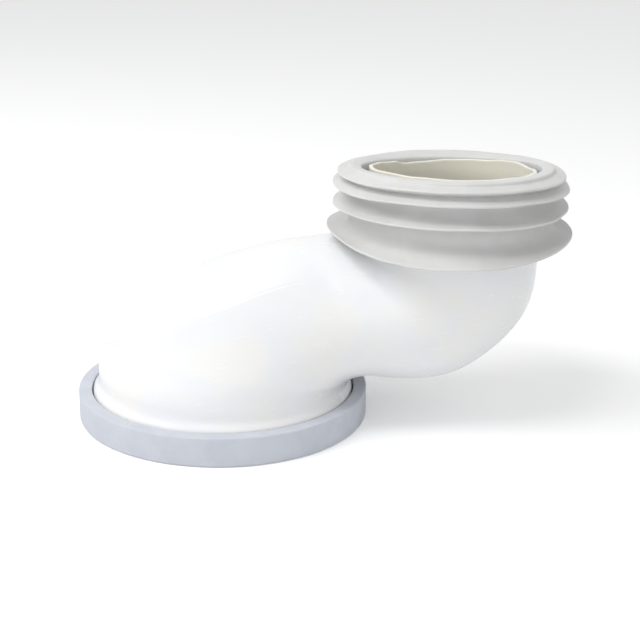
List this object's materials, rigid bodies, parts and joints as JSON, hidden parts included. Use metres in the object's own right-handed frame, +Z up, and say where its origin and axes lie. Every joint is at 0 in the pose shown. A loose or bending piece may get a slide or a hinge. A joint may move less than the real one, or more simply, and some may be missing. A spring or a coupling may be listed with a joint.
{
  "type": "offset toilet flange",
  "caption": "Moulded offset flange that joins a toilet's outlet to a floor soil pipe, with a round gasketed inlet collar, a hooded oval duct and a finned sealing sleeve on its outlet spigot.",
  "frame": {"origin": "centre of the inlet collar's bore at the base gasket's underside", "axes": "+X from the inlet to the outlet spigot, +Z up along both bores, +Y across the duct"},
  "size_m": [0.247, 0.147, 0.13],
  "materials": {
    "moulded_plastic": "gloss",
    "sleeve_rubber": "satin",
    "gasket_rubber": "matt"
  },
  "bodies": {
    "root": {"offset_duct": "moulded_plastic", "finned_sleeve": "sleeve_rubber", "base_gasket": "gasket_rubber"}
  },
  "joints": []
}
